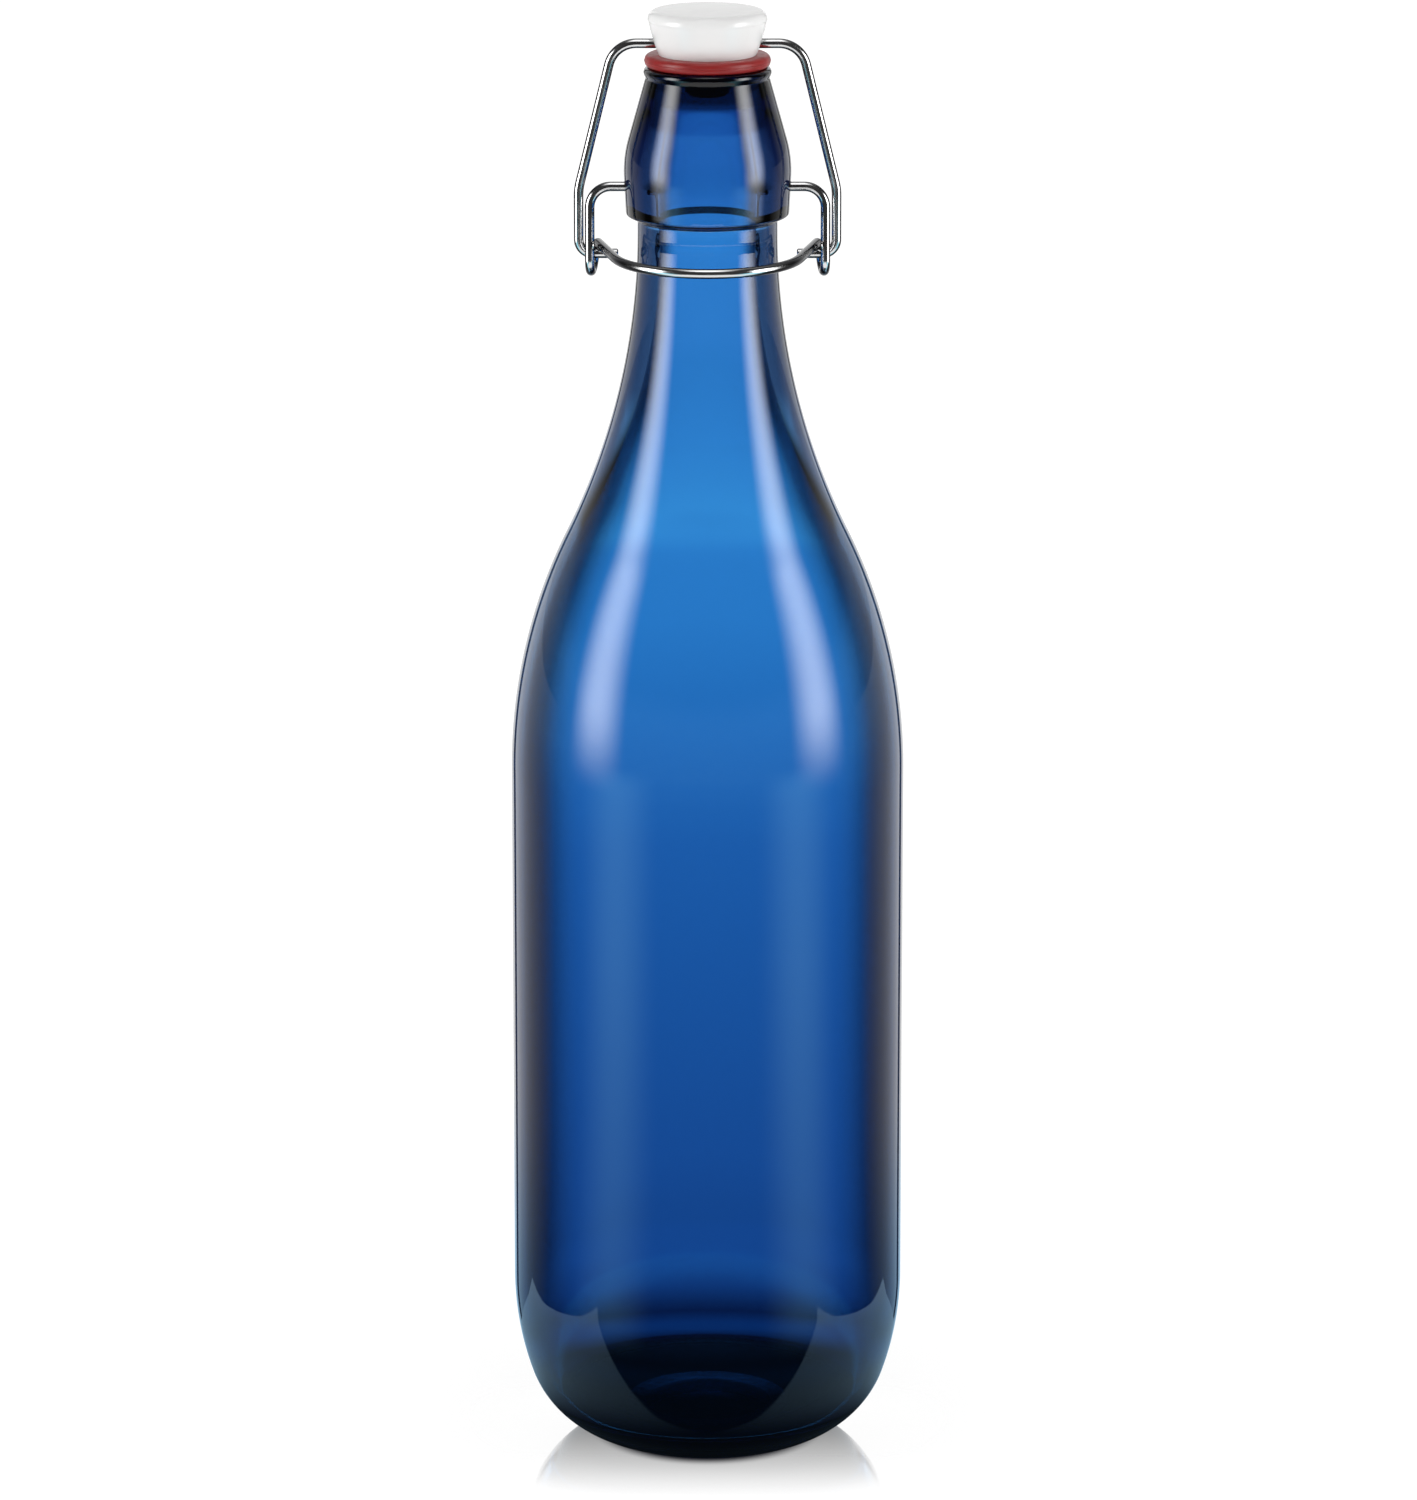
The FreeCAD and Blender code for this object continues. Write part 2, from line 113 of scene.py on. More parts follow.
# Wires
WIRE_RADIUS = 1.05
WIRE_DRESS = 0.25
LEG_OFFSET = 7.1
LEG_BEND = 4.5
EYE_DROP = 15.5
EYE_RADIUS = 3.05
EYE_FLAT = 0.305
EYE_GAP = 0.6
OVER_CENTRE = 0.7
HANDLE_REACH = 30.0
HANDLE_FRONT_WIDTH = 32.0
HANDLE_BEND = 20.0
HANDLE_DIP = 1.0
PIN_CLEARANCE = 0.1
PIN_LENGTH = 6.1
BAIL_GAP = 0.3
BAIL_LEG = 14.1
BAIL_FOOT_BEND = 3.0
BAIL_KNEE_BEND = 12.0
BAIL_TOP_WIDTH = 40.0
BAIL_TOP_BEND = 6.0

# Heights above the floor, and the lever's legs
NECK_Z = SHOULDER_HEIGHT + SHOULDER_RISE
COLLAR_Z = NECK_Z + NECK_LAND
LEDGE_Z = COLLAR_Z + COLLAR_SLOPE / 2
PIVOT_Z = COLLAR_Z + PIVOT_RISE
LIP_Z = COLLAR_Z + FINISH_HEIGHT
SEAL_Z = LIP_Z + SEAL_GAP
PLUG_END_Z = SEAL_Z - PLUG_DEPTH
HEAD_Z = SEAL_Z + GASKET_THICKNESS
BORE_Z = HEAD_Z + BAIL_BORE_RISE
LEG_X = BULGE_RADIUS + LEG_OFFSET

# Meshes, with angles in degrees
GLASS_SEGMENTS = 200
CAP_SEGMENTS = 160
CUTTER_SEGMENTS = 32
WIRE_SIDES = 24
BEND_STEP = 5
LEAST_BEND_STEPS = 4
SHARP_ANGLE = 40
GLASS_SHARP_ANGLE = 24
SAME_POINT = 1e-4

# Painted shade of the glass and the steel, and the glass's rough foot: spans of height or distance, and of
# the turn away from the eye
HEEL_FADE = (6, 40)
HEEL_LEVEL = 0.4
NECK_FADE = (218, 240)
LEDGE_FADE = (0.9, 1.3)
MOUTH_FADE = (PLUG_END_Z - 1.0, PLUG_END_Z + 0.4)
FOOT_FADE = (3, 8)
FOOT_ROUGHNESS = 0.5
MID_WALL_HEIGHTS = (225, 260)
MID_WALL_RADII = (19.8, 12.5)
INNER_FLOOR_RADIUS = 33
INNER_FLOOR_TOP = FLOOR_HEIGHT + 0.8
SIDE_SHADE_TURN = (0.26, 0.60)
NECK_SHADE_TURN = (0.10, 0.30)
STEEL_TURN = (0.24, 0.48)

# Colours of the glass and of the table, with the glass's painted shade and the table's painted shadow and
# glow
WHITE = (1, 1, 1, 1)
GLASS_TINT = (0.246, 0.684, 1.0, 1)
PAINTED_SHADE_TINT = (0.02, 0.045, 0.09, 1)
WALL_COLOUR = (0.1, 0.2, 0.55, 1)
NEAR_SHADE = (0.45, 0.74, 1.0, 1)
FLAG_COLOUR = (0.38, 0.86, 1.0, 1)
PAINTED_CONTACT_SHADOW = (0.02, 0.02, 0.03, 1)

# Levels of the room in reflections, by the turn from the front in radians
FLAG_TURN = 0.92
FLAG_HALF_WIDTH = 0.46
FRONT_LEVEL = 0.03
TABLE_BACKDROP_TURN = 1.7
ROOM_BACKDROP_TURN = 1.95
BACKDROP_RISE = 0.9
GAP_TURN = 2.76
GAP_EDGE = (0.033, 0.077)
GAP_LEVEL = 0.02

# The table's painted glow in reflections, in spans of distance and levels
SHEET_RISE = (0, 130)
SHEET_LEVELS = (0.20, 1.15)
SHEET_SIDE = (131, 134)
SHEET_FRONT = (-41, -39)
SHEET_BACK = (59, 61)
SHEET_MIDDLE = (32, 60)
SHEET_SLANT = 0.28
SHADE_FADE = (100, 300)
FLAG_RISE = (150, 450)
FLAG_LEVELS = (0.8, 1.4)
FLAG_START = (80, 160)
FLAG_END = (800, 1600)

# The table to the eye, with a painted contact shadow and a painted soft shadow, in spans of distance and
# levels
CONTACT_FADE = (22, 27)
SHADOW_FADE = (100, 600)
SHADOW_LEVEL = 0.86
MIRROR_RISE = (-48, 13)
MIRROR_FALL = (13, 40)
MIRROR_SIDE = (44, 64)
MIRROR_LEVEL = 0.95

# Studio, in millimetres and degrees. A lamp's fades are shares of its size, and the wall's top is a slope
TABLE_SIZE = (12000, 12000)
SIDE_LAMP_TURN = 68
SIDE_LAMP_REACH = 750
SIDE_LAMP_HEIGHT = 400
SIDE_LAMP_SIZE = (560, 800)
SIDE_LAMP_LEVEL = 7.5
TOP_LAMP_PLACE = (0, -250, 1300)
TOP_LAMP_AIM = (0, 0, 200)
TOP_LAMP_SIZE = (900, 900)
TOP_LAMP_LEVEL = 1.8
LAMP_FADE_ACROSS = (0.02, 0.5)
LAMP_FADE_ALONG = (0.22, 0.5)
CARD_PLACE = (0, -190, 175)
CARD_AIM = (0, -190, 0)
CARD_SIZE = (240, 260)
WALL_TOP = (0.05, 0.20)
CEILING_LEVEL = 0.02
AMBIENT_LEVEL = 0.35
CAMERA_PLACE = (0.2, -1580, 562)
CAMERA_TILT = 75.6
SENSOR_HEIGHT = 36
LENS = 178.66


# Section outlines
def arc(centre, radius, start, end, steps):
    """Points along a circular arc between two angles in radians."""
    angles = [start + (end - start) * step / steps for step in range(steps + 1)]
    return [(centre[0] + radius * math.cos(a), centre[1] + radius * math.sin(a)) for a in angles]


def arc_between(centre, first, last, steps):
    """The shorter arc about a centre from one point to another."""
    start = math.atan2(first[1] - centre[1], first[0] - centre[0])
    end = math.atan2(last[1] - centre[1], last[0] - centre[0])
    turn = (end - start + math.pi) % (2 * math.pi) - math.pi
    return arc(centre, math.dist(centre, first), start, start + turn, steps)


def run(first, last, spacing):
    """Points along a straight line, at most the spacing apart."""
    steps = max(1, math.ceil(math.dist(first, last) / spacing))
    return [tuple(a + (b - a) * step / steps for a, b in zip(first, last)) for step in range(steps + 1)]


def rounded(corners, spacing, steps):
    """Straight runs through points, with a tangent arc where the corner has a radius."""
    points = [point for point, _ in corners]
    radii = [radius for _, radius in corners[1:-1]]
    chain = []
    start = points[0]
    for before, corner, after, radius in zip(points, points[1:], points[2:], radii):
        back = (Vector(before) - Vector(corner)).normalized()
        ahead = (Vector(after) - Vector(corner)).normalized()
        half = back.angle(ahead) / 2
        if radius == 0:
            chain += run(start, corner, spacing)
            start = corner
            continue
        reach = radius / math.tan(half)
        first = tuple(Vector(corner) + back * reach)
        last = tuple(Vector(corner) + ahead * reach)
        centre = tuple(Vector(corner) + (back + ahead).normalized() * (radius / math.sin(half)))
        chain += run(start, first, spacing) + arc_between(centre, first, last, steps)
        start = last
    return chain + run(start, points[-1], spacing)


def shoulder_arcs(radius, shoulder_radius, neck_radius, height, rise):
    """Shoulder arc and the hollow neck arc that runs on from it, from the side up to the neck."""
    reach = shoulder_radius - radius + neck_radius
    neck_arc = (reach ** 2 + rise ** 2 - shoulder_radius ** 2) / (2 * (radius - neck_radius))
    low = Vector((radius - shoulder_radius, height))
    high = Vector((neck_radius + neck_arc, height + rise))
    meeting = tuple(low + (high - low) * (shoulder_radius / (shoulder_radius + neck_arc)))
    return (arc_between(tuple(low), (radius, height), meeting, steps=40)
            + arc_between(tuple(high), meeting, (neck_radius, height + rise), steps=40))


def heel_centres():
    """Centres of the heel's lower and upper arcs, which the inside shares with the outside."""
    turn = math.radians(HEEL_TURN)
    spread = HEEL_UPPER_RADIUS - HEEL_LOWER_RADIUS
    high = (BODY_RADIUS - HEEL_UPPER_RADIUS, HEEL_LOWER_RADIUS + spread * math.sin(turn))
    low = (high[0] + spread * math.cos(turn), HEEL_LOWER_RADIUS)
    return low, high


def glass_outside():
    """From the middle of the punt, over the heel and shoulder, to the top of the neck."""
    turn = math.radians(HEEL_TURN)
    low, high = heel_centres()
    punt_radius = low[0] - BEARING_WIDTH
    punt_arc = (punt_radius ** 2 + PUNT_HEIGHT ** 2) / (2 * PUNT_HEIGHT)
    chain = arc_between((0, PUNT_HEIGHT - punt_arc), (0, PUNT_HEIGHT), (punt_radius, 0), steps=14)
    chain += run((punt_radius, 0), (low[0], 0), spacing=1.5)
    chain += arc(low, HEEL_LOWER_RADIUS, -math.pi / 2, -turn, steps=30)
    chain += arc(high, HEEL_UPPER_RADIUS, -turn, 0, steps=16)
    chain += run((BODY_RADIUS, high[1]), (BODY_RADIUS, SHOULDER_HEIGHT), spacing=8)
    chain += shoulder_arcs(BODY_RADIUS, SHOULDER_RADIUS, NECK_RADIUS, SHOULDER_HEIGHT, SHOULDER_RISE)
    return chain


def glass_finish():
    """From the neck over the collar, bulge and lip, and down the mouth to the neck's bore."""
    corners = [
        ((NECK_RADIUS, NECK_Z), 0),
        ((NECK_RADIUS, COLLAR_Z), COLLAR_ROOT),
        ((COLLAR_RADIUS, COLLAR_Z + COLLAR_SLOPE), COLLAR_EDGE),
        ((BULGE_RADIUS, COLLAR_Z + BULGE_RISE), BULGE_EDGE),
        ((LIP_WAIST_RADIUS, LIP_Z - LIP_BAND), LIP_ROOT),
        ((LIP_RADIUS, LIP_Z), LIP_EDGE),
        ((MOUTH_RADIUS, LIP_Z), MOUTH_EDGE),
        ((MOUTH_RADIUS, LIP_Z - THROAT_DEPTH), THROAT_EDGE),
        ((NECK_BORE_RADIUS, LIP_Z - THROAT_DEPTH - THROAT_TAPER), THROAT_EDGE),
        ((NECK_BORE_RADIUS, NECK_Z - NECK_BORE_DROP), 0),
    ]
    return rounded(corners, spacing=0.7, steps=10)


def glass_inside():
    """From the neck's bore down the wall and round the heel to the middle of the flat floor."""
    inner = BODY_RADIUS - BODY_WALL
    arcs = shoulder_arcs(inner, SHOULDER_RADIUS - BODY_WALL, NECK_BORE_RADIUS, SHOULDER_HEIGHT,
                         SHOULDER_RISE - NECK_BORE_DROP)
    turn = math.radians(HEEL_TURN)
    low, high = heel_centres()
    heel = HEEL_LOWER_RADIUS - BODY_WALL
    edge_drop = low[1] - FLOOR_HEIGHT - FLOOR_EDGE
    edge_turn = math.asin(edge_drop / (heel - FLOOR_EDGE))
    edge_centre = (low[0] + (heel - FLOOR_EDGE) * math.cos(edge_turn), FLOOR_HEIGHT + FLOOR_EDGE)
    chain = arcs[::-1]
    chain += run((inner, SHOULDER_HEIGHT), (inner, high[1]), spacing=8)
    chain += arc(high, HEEL_UPPER_RADIUS - BODY_WALL, 0, -turn, steps=16)
    chain += arc(low, heel, -turn, -edge_turn, steps=20)
    chain += arc(edge_centre, FLOOR_EDGE, -edge_turn, -math.pi / 2, steps=12)
    chain += run((edge_centre[0], FLOOR_HEIGHT), (0, FLOOR_HEIGHT), spacing=2)
    return chain


def gasket_section():
    """From the plug's end out over the rim and its mould line, and in to the socket for the stem."""
    socket = STEM_RADIUS + GASKET_CLEARANCE
    socket_end = -STEM_DEPTH - GASKET_CLEARANCE
    rim = LIP_RADIUS - GASKET_INSET
    side = rim - FLASH_HEIGHT
    edge = GASKET_EDGE - FLASH_HEIGHT
    plug = MOUTH_RADIUS - PLUG_CLEARANCE
    middle = GASKET_THICKNESS / 2
    corners = [
        ((0, -PLUG_DEPTH), 0),
        ((plug - PLUG_TAPER, -PLUG_DEPTH), PLUG_EDGE),
        ((plug, 0), PLUG_ROOT),
        ((side, 0), edge),
        ((side, middle - FLASH_FOOT / 2), 0),
        ((rim, middle - FLASH_TOP / 2), 0),
        ((rim, middle + FLASH_TOP / 2), 0),
        ((side, middle + FLASH_FOOT / 2), 0),
        ((side, GASKET_THICKNESS), edge),
        ((socket, GASKET_THICKNESS), SOCKET_EDGE),
        ((socket, socket_end), 0),
        ((0, socket_end), 0),
    ]
    return rounded(corners, spacing=0.8, steps=10)


def stopper_section():
    """Stem and bowl-shaped head, from the stem's end up, measured from the head's underside."""
    stem_end = -GASKET_THICKNESS - STEM_DEPTH
    foot = Vector((HEAD_FOOT_RADIUS, 0))
    brim = Vector((HEAD_RADIUS, HEAD_HEIGHT - HEAD_DOME))
    chord = brim - foot
    to_centre = math.sqrt(HEAD_SIDE_RADIUS ** 2 - (chord.length / 2) ** 2)
    side_centre = (foot + brim) / 2 + Vector((-chord.y, chord.x)).normalized() * to_centre
    dome_arc = (HEAD_RADIUS ** 2 + HEAD_DOME ** 2) / (2 * HEAD_DOME)
    corners = [
        ((0, stem_end), 0),
        ((STEM_RADIUS, stem_end), STEM_EDGE),
        ((STEM_RADIUS, 0), 0),
        (tuple(foot), 0),
    ]
    stem = rounded(corners, spacing=0.8, steps=8)
    side = arc_between(tuple(side_centre), tuple(foot), tuple(brim), steps=40)
    dome = arc_between((0, HEAD_HEIGHT - dome_arc), tuple(brim), (0, HEAD_HEIGHT), steps=40)
    return stem + blend_corner(side, dome, HEAD_EDGE)


def blend_corner(first, second, radius):
    """Joins two curves that meet in a corner by an arc of the given radius."""
    corner = Vector(first[-1])
    back = (Vector(first[-2]) - corner).normalized()
    ahead = (Vector(second[1]) - corner).normalized()
    half = back.angle(ahead) / 2
    reach = radius / math.tan(half)
    kept_first = [p for p in first if (Vector(p) - corner).length > reach]
    kept_second = [p for p in second if (Vector(p) - corner).length > reach]
    start = tuple(corner + back * reach)
    end = tuple(corner + ahead * reach)
    centre = tuple(corner + (back + ahead).normalized() * (radius / math.sin(half)))
    return kept_first + arc_between(centre, start, end, steps=14) + kept_second


# Meshes
def without_repeats(chain):
    kept = [chain[0]]
    for point in chain[1:]:
        if math.dist(point, kept[-1]) > SAME_POINT:
            kept.append(point)
    return kept


def smooth(mesh, sharp_angle):
    """Smooth faces, with edges that stay sharp from an angle on."""
    mesh.shade_smooth()
    mesh.set_sharp_from_angle(angle=math.radians(sharp_angle))


def new_object(name, vertices, faces):
    mesh = bpy.data.meshes.new(name)
    mesh.from_pydata([tuple(c * MM for c in vertex) for vertex in vertices], [], faces)
    mesh.validate()
    smooth(mesh, SHARP_ANGLE)
    made = bpy.data.objects.new(name, mesh)
    scene.collection.objects.link(made)
    return made


def lathe(name, section, segments, base=0.0):
    """Turns a section that begins and ends on the axis."""
    vertices = []
    rows = []
    for radius, height in without_repeats(section):
        first = len(vertices)
        count = 1 if radius < SAME_POINT else segments
        for step in range(count):
            angle = 2 * math.pi * step / segments
            vertices.append((radius * math.cos(angle), radius * math.sin(angle), base + height))
        rows.append([first + step % count for step in range(segments + 1)])
    faces = []
    for low, high in zip(rows, rows[1:]):
        for step in range(segments):
            corners = [low[step], low[step + 1], high[step + 1], high[step]]
            faces.append(list(dict.fromkeys(corners)))
    return new_object(name, vertices, faces)


def rod(name, centre_x, half_length, height, radius):
    """A round cutter along X."""
    count = CUTTER_SEGMENTS
    vertices = []
    for x in (centre_x - half_length, centre_x + half_length):
        for step in range(count):
            angle = 2 * math.pi * step / count
            vertices.append((x, radius * math.cos(angle), height + radius * math.sin(angle)))
    faces = [[step, (step + 1) % count, (step + 1) % count + count, step + count] for step in range(count)]
    faces.append(list(range(count))[::-1])
    faces.append(list(range(count, 2 * count)))
    return new_object(name, vertices, faces)


def cut(piece, cutters, sharp_angle=SHARP_ANGLE):
    """Takes the cutters out of a piece for good."""
    for cutter in cutters:
        change = piece.modifiers.new("cut", "BOOLEAN")
        change.operation = "DIFFERENCE"
        change.solver = "EXACT"
        change.object = cutter
    bpy.context.view_layer.update()
    shaped = piece.evaluated_get(bpy.context.evaluated_depsgraph_get())
    mesh = bpy.data.meshes.new_from_object(shaped)
    piece.modifiers.clear()
    piece.data = mesh
    smooth(mesh, sharp_angle)
    for cutter in cutters:
        bpy.data.objects.remove(cutter)


def bent_path(points, bends):
    """Points along straight runs with a tangent arc at each inner corner."""
    path = [points[0]]
    for before, corner, after, radius in zip(points, points[1:], points[2:], bends):
        back = (before - corner).normalized()
        ahead = (after - corner).normalized()
        half = back.angle(ahead) / 2
        inward = (back + ahead).normalized()
        centre = corner + inward * (radius / math.sin(half))
        across = (ahead - back).normalized()
        bend = math.pi - 2 * half
        steps = max(LEAST_BEND_STEPS, math.ceil(bend / math.radians(BEND_STEP)))
        for step in range(steps + 1):
            turn = (half - math.pi / 2) * (1 - 2 * step / steps)
            path.append(centre + (across * math.sin(turn) - inward * math.cos(turn)) * radius)
    return path + [points[-1]]


def wire_stations(path):
    """Places along a wire with their direction and radius, with its cut ends lightly dressed."""
    start = (path[1] - path[0]).normalized()
    end = (path[-1] - path[-2]).normalized()
    tip = WIRE_RADIUS - WIRE_DRESS
    stations = [(path[0], start, tip), (path[0] + start * WIRE_DRESS, start, WIRE_RADIUS)]
    for before, here, after in zip(path, path[1:], path[2:]):
        along = ((here - before).normalized() + (after - here).normalized()).normalized()
        stations.append((here, along, WIRE_RADIUS))
    return stations + [(path[-1] - end * WIRE_DRESS, end, WIRE_RADIUS), (path[-1], end, tip)]


def wire(name, half_points, half_bends):
    """A round wire bent the same on both sides."""
    points = half_points + [Vector((-p.x, p.y, p.z)) for p in reversed(half_points)]
    path = bent_path(points, half_bends + half_bends[::-1])
    path = [p for p, q in zip(path, path[1:]) if (q - p).length > SAME_POINT] + [path[-1]]
    stations = wire_stations(path)
    side = stations[0][1].orthogonal().normalized()
    vertices = []
    for place, along, radius in stations:
        side = (side - along * side.dot(along)).normalized()
        up = along.cross(side)
        for step in range(WIRE_SIDES):
            angle = 2 * math.pi * step / WIRE_SIDES
            vertices.append(tuple(place + (side * math.cos(angle) + up * math.sin(angle)) * radius))
    faces = []
    for low in range(0, len(vertices) - WIRE_SIDES, WIRE_SIDES):
        high = low + WIRE_SIDES
        for step in range(WIRE_SIDES):
            after = (step + 1) % WIRE_SIDES
            faces.append([low + step, low + after, high + after, high + step])
    faces.append(list(range(WIRE_SIDES))[::-1])
    faces.append(list(range(len(vertices) - WIRE_SIDES, len(vertices))))
    return new_object(name, vertices, faces)


def lever_path():
    """Right half of the lever: pivot tip, leg, open eye, and the arm that runs round to the front."""
    front = OVER_CENTRE - EYE_RADIUS
    back = OVER_CENTRE + EYE_RADIUS
    low = PIVOT_Z - EYE_DROP - EYE_RADIUS
    high = PIVOT_Z - EYE_DROP + EYE_RADIUS
    crossing = LEG_X - 2 * WIRE_RADIUS - EYE_GAP
    handle = Vector((HANDLE_FRONT_WIDTH / 2, -HANDLE_REACH, high - HANDLE_DIP))
    flare = (crossing - handle.x) / (HANDLE_REACH + front)
    top_back = Vector((crossing + flare * 2 * EYE_RADIUS, back, high))
    points = [
        Vector((BULGE_RADIUS - PIVOT_DEPTH, 0, PIVOT_Z)),
        Vector((LEG_X, 0, PIVOT_Z)),
        Vector((LEG_X, front, low)),
        Vector(((LEG_X + top_back.x) / 2, back, low)),
        top_back,
        handle,
    ]
    eye_bend = EYE_RADIUS - EYE_FLAT
    return points, [LEG_BEND, eye_bend, eye_bend, eye_bend, HANDLE_BEND]


def bail_path():
    """Right half of the bail: pin, upright leg, slope in to the stopper, and the bar through it."""
    slope = HANDLE_DIP / (HANDLE_REACH + OVER_CENTRE + EYE_RADIUS)
    pin_z = PIVOT_Z - EYE_DROP + EYE_RADIUS - slope * EYE_RADIUS - 2 * WIRE_RADIUS - PIN_CLEARANCE
    drop = BORE_Z - pin_z
    lean = math.atan(OVER_CENTRE / drop)
    leg = LEG_X + 2 * WIRE_RADIUS + BAIL_GAP
    foot = -math.hypot(drop, OVER_CENTRE)
    flat = [(LEG_X - PIN_LENGTH, foot), (leg, foot), (leg, foot + BAIL_LEG), (BAIL_TOP_WIDTH / 2, 0)]
    points = [Vector((x, -z * math.sin(lean), BORE_Z + z * math.cos(lean))) for x, z in flat]
    return points, [BAIL_FOOT_BEND, BAIL_KNEE_BEND, BAIL_TOP_BEND]


# Node helpers
def new_material(name):
    made = bpy.data.materials.new(name)
    made.use_nodes = True
    made.node_tree.nodes.clear()
    return made, made.node_tree


def add(tree, kind, links=None, **settings):
    """Adds a node, sets its properties, and links or sets its inputs."""
    node = tree.nodes.new(kind)
    for key, setting in settings.items():
        setattr(node, key, setting)
    for key, source in (links or {}).items():
        socket = node.inputs[key]
        if isinstance(source, bpy.types.NodeSocket):
            tree.links.new(source, socket)
        else:
            socket.default_value = source
    return node


def math_node(tree, operation, first, second=0.0):
    return add(tree, "ShaderNodeMath", {0: first, 1: second}, operation=operation).outputs[0]


def combine(tree, operation, *values):
    """Joins values by one operation, from left to right."""
    joined = values[0]
    for value in values[1:]:
        joined = math_node(tree, operation, joined, value)
    return joined


def distance(tree, value, middle):
    """How far a value lies from a middle, on either side."""
    return math_node(tree, "ABSOLUTE", math_node(tree, "SUBTRACT", value, middle))


def length(tree, vector):
    return add(tree, "ShaderNodeVectorMath", {0: vector}, operation="LENGTH").outputs["Value"]


def axis_distance(tree, place):
    """How far a place lies from the bottle's axis."""
    level = add(tree, "ShaderNodeVectorMath", {0: place, 1: (1, 1, 0)}, operation="MULTIPLY")
    return length(tree, level.outputs["Vector"])


def split(tree, vector):
    return add(tree, "ShaderNodeSeparateXYZ", {0: vector}).outputs


def map_range(tree, source, span, start=0.0, end=1.0, kind="SMOOTHSTEP"):
    """Leads from one level to another while a value runs through a span."""
    links = {"Value": source, "From Min": span[0], "From Max": span[1], "To Min": start, "To Max": end}
    return add(tree, "ShaderNodeMapRange", links, interpolation_type=kind).outputs["Result"]


def fade(tree, source, span, start=0.0, end=1.0, kind="SMOOTHSTEP"):
    """Leads from one level to another while a length runs through a span in millimetres."""
    return map_range(tree, source, (span[0] * MM, span[1] * MM), start, end, kind)


def mix_colour(tree, factor, first, second):
    """Mixes two colours. The node's sockets for colours come after those for other kinds."""
    links = {0: factor, 6: first, 7: second}
    return add(tree, "ShaderNodeMix", links, data_type="RGBA").outputs[2]


def ramp(tree, source, stops):
    """A colour by length, through stops of a length in millimetres and a colour."""
    near = stops[0][0]
    far = stops[-1][0]
    node = add(tree, "ShaderNodeValToRGB", {0: fade(tree, source, (near, far), kind="LINEAR")})
    elements = node.color_ramp.elements
    while len(elements) < len(stops):
        elements.new(1.0)
    for element, (stop, colour) in zip(elements, stops):
        element.position = (stop - near) / (far - near)
        element.color = (*colour, 1)
    return node.outputs[0]


def object_place(tree):
    return add(tree, "ShaderNodeTexCoord").outputs["Object"]


def turned_away(tree):
    """How far a surface is turned from the eye, from 0 to 1."""
    return add(tree, "ShaderNodeLayerWeight", {"Blend": 0.5}).outputs["Facing"]


def noise(tree, place, scale):
    links = {"Vector": place, "Scale": scale, "Detail": 3.0}
    return add(tree, "ShaderNodeTexNoise", links).outputs["Fac"]


def uneven(tree, place, scale, low, high, span=(0.3, 0.7)):
    """A level that wanders between two values over the surface."""
    return map_range(tree, noise(tree, place, scale), span, low, high, "LINEAR")


def bump(tree, place, scale, strength, depth):
    """A fine unevenness, with its depth in millimetres."""
    links = {"Height": noise(tree, place, scale), "Strength": strength, "Distance": depth * MM}
    return add(tree, "ShaderNodeBump", links).outputs["Normal"]


def emission(tree, colour, strength=1.0):
    return add(tree, "ShaderNodeEmission", {"Color": colour, "Strength": strength})


def background(tree, colour, strength=1.0):
    return add(tree, "ShaderNodeBackground", {"Color": colour, "Strength": strength})


def mix_shaders(tree, factor, first, second):
    return add(tree, "ShaderNodeMixShader", {0: factor, 1: first.outputs[0], 2: second.outputs[0]})


def add_shaders(tree, first, second):
    return add(tree, "ShaderNodeAddShader", {0: first.outputs[0], 1: second.outputs[0]})


def by_sight(tree, plain, reflected, through, seen):
    """One shader for reflections, one through glass, one for the camera, and a plain one for other light."""
    path = add(tree, "ShaderNodeLightPath").outputs
    shader = mix_shaders(tree, path["Is Glossy Ray"], plain, reflected)
    shader = mix_shaders(tree, path["Is Transmission Ray"], shader, through)
    return mix_shaders(tree, path["Is Camera Ray"], shader, seen)


def put_on_surface(tree, shader):
    add(tree, "ShaderNodeOutputMaterial", {"Surface": shader.outputs[0]})


# Levels of the room in reflections
def turn_round(tree, heading, inset=0.0):
    """How far a heading is turned from the front to the back, alike on both sides."""
    parts = split(tree, heading)
    aside = math_node(tree, "SUBTRACT", math_node(tree, "ABSOLUTE", parts["X"]), inset)
    ahead = math_node(tree, "MULTIPLY", parts["Y"], -1.0)
    return math_node(tree, "ARCTAN2", aside, ahead)


def flag_level(tree, heading):
    """A soft flag on each side of the front."""
    from_flag = distance(tree, turn_round(tree, heading), FLAG_TURN)
    return map_range(tree, from_flag, (0.0, FLAG_HALF_WIDTH), 1.0, 0.0)


def backdrop_level(tree, heading, start, inset=0.0):
    """Dark in front, and white behind from a turn on, with a dark gap on each side of the middle."""
    rise = (start, start + BACKDROP_RISE)
    behind = map_range(tree, turn_round(tree, heading), rise, FRONT_LEVEL, 1.0, "LINEAR")
    from_gap = distance(tree, turn_round(tree, heading, inset), GAP_TURN)
    return combine(tree, "MULTIPLY", behind, map_range(tree, from_gap, GAP_EDGE, GAP_LEVEL))


# Materials
def neck_skin(tree, height, radius):
    """The outer skin of the neck and finish, clear of the collar's ledge."""
    low_radius, high_radius = MID_WALL_RADII
    mid_wall = fade(tree, height, MID_WALL_HEIGHTS, low_radius * MM, high_radius * MM, "LINEAR")
    outside = math_node(tree, "GREATER_THAN", radius, mid_wall)
    off_ledge = fade(tree, distance(tree, height, LEDGE_Z * MM), LEDGE_FADE)
    return combine(tree, "MULTIPLY", fade(tree, height, NECK_FADE), outside, off_ledge)


